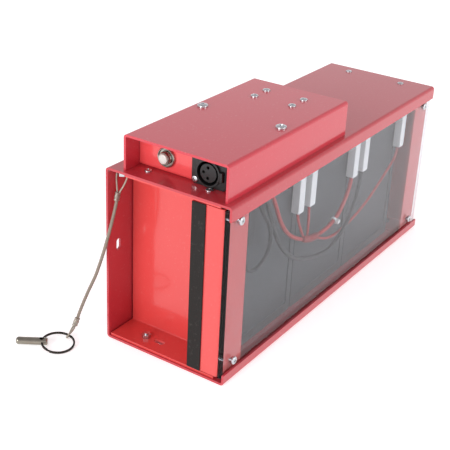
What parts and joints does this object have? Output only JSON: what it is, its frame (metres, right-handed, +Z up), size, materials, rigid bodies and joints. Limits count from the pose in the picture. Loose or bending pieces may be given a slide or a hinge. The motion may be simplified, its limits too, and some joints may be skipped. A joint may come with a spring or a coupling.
{
  "type": "battery power box",
  "caption": "Red folded-metal battery box with smoked side window, recessed ends, top control housing with breaker and round socket, and a locking pin on a wire lanyard.",
  "frame": {"origin": "middle of the footprint of the case on the ground, lanyard and pin left out", "axes": "+X along the case away from the control end, -Y out of the window, +Y out of the back wall, +Z up"},
  "size_m": [0.4162, 0.1708, 0.1874],
  "materials": {
    "wrap_paint": "gloss",
    "frame_paint": "gloss",
    "housing_paint": "gloss",
    "panel_paint": "gloss",
    "smoked_acrylic": "gloss",
    "screw_zinc": "satin",
    "rivet_aluminium": "satin",
    "nickel": "satin",
    "spring_steel": "satin",
    "brass_contact": "satin",
    "strip_rubber": "matte",
    "black_rubber": "matte",
    "dark_plastic": "matte",
    "white_plastic": "gloss",
    "white_nylon": "satin",
    "battery_case": "satin",
    "battery_lid": "satin",
    "foam": "matte",
    "red_insulation": "gloss",
    "black_insulation": "gloss",
    "sleeve_red": "satin",
    "coated_rope": "satin",
    "bare_rope": "satin",
    "ferrule_metal": "satin",
    "dark_chrome": "gloss",
    "pin_steel": "satin"
  },
  "bodies": {
    "case": {"outer_wrap": "wrap_paint", "near_end_frame": "frame_paint", "far_end_frame": "frame_paint", "window": "smoked_acrylic", "window_screws": "screw_zinc", "window_nuts": "screw_zinc", "top_end_screws": "screw_zinc", "top_end_nuts": "screw_zinc", "bottom_end_screws": "screw_zinc", "bottom_end_nuts": "screw_zinc", "grip_strip": "strip_rubber", "top_housing": "housing_paint", "control_panel": "panel_paint", "panel_rivets": "rivet_aluminium", "housing_screws": "screw_zinc", "housing_standoffs": "screw_zinc", "power_module": "dark_plastic", "module_screws": "screw_zinc", "breaker_body": "dark_plastic", "breaker_bushing": "nickel", "breaker_nut": "nickel", "breaker_spring": "spring_steel", "breaker_terminals": "brass_contact", "socket_shell": "dark_plastic", "socket_insert": "dark_plastic", "socket_contacts": "brass_contact", "latch_spring": "spring_steel", "socket_screws": "screw_zinc", "socket_nuts": "screw_zinc", "grommet": "black_rubber", "battery_near": "battery_case", "battery_middle": "battery_case", "battery_far": "battery_case", "battery_lids": "battery_lid", "battery_terminals": "brass_contact", "battery_pads": "foam", "white_connectors": "white_nylon", "black_connector": "dark_plastic", "connector_receptacles": "brass_contact", "main_red_lead": "red_insulation", "branch_red_leads": "red_insulation", "output_red_lead": "red_insulation", "main_black_lead": "black_insulation", "end_black_lead": "black_insulation", "lead_splice": "sleeve_red", "lead_tie": "white_nylon", "anchor_stud": "screw_zinc", "anchor_washer": "screw_zinc", "anchor_nut": "screw_zinc", "lanyard_cable": "coated_rope", "upper_loop": "bare_rope", "lower_loop": "bare_rope", "upper_ferrule": "ferrule_metal", "lower_ferrule": "ferrule_metal", "split_ring": "dark_chrome"},
    "button": {"breaker_button": "white_plastic"},
    "latch": {"socket_latch": "dark_plastic"},
    "pin": {"release_pin": "pin_steel"}
  },
  "joints": [
    {"name": "breaker_trip", "type": "slide", "parent": "case", "child": "button", "axis": [-1, 0, 0], "range_m": [0, 0.004]},
    {"name": "latch_press", "type": "slide", "parent": "case", "child": "latch", "axis": [1, 0, 0], "range_m": [0, 0.0015], "stiffness_N_per_m": 400, "springref_m": -0.001},
    {"name": "pin_swing", "type": "hinge", "parent": "case", "child": "pin", "pos_m": [-0.22258, 0.09304, 0.00317], "axis": [-0.829, -0.5592, 0], "range_deg": [-100, 0]}
  ]
}
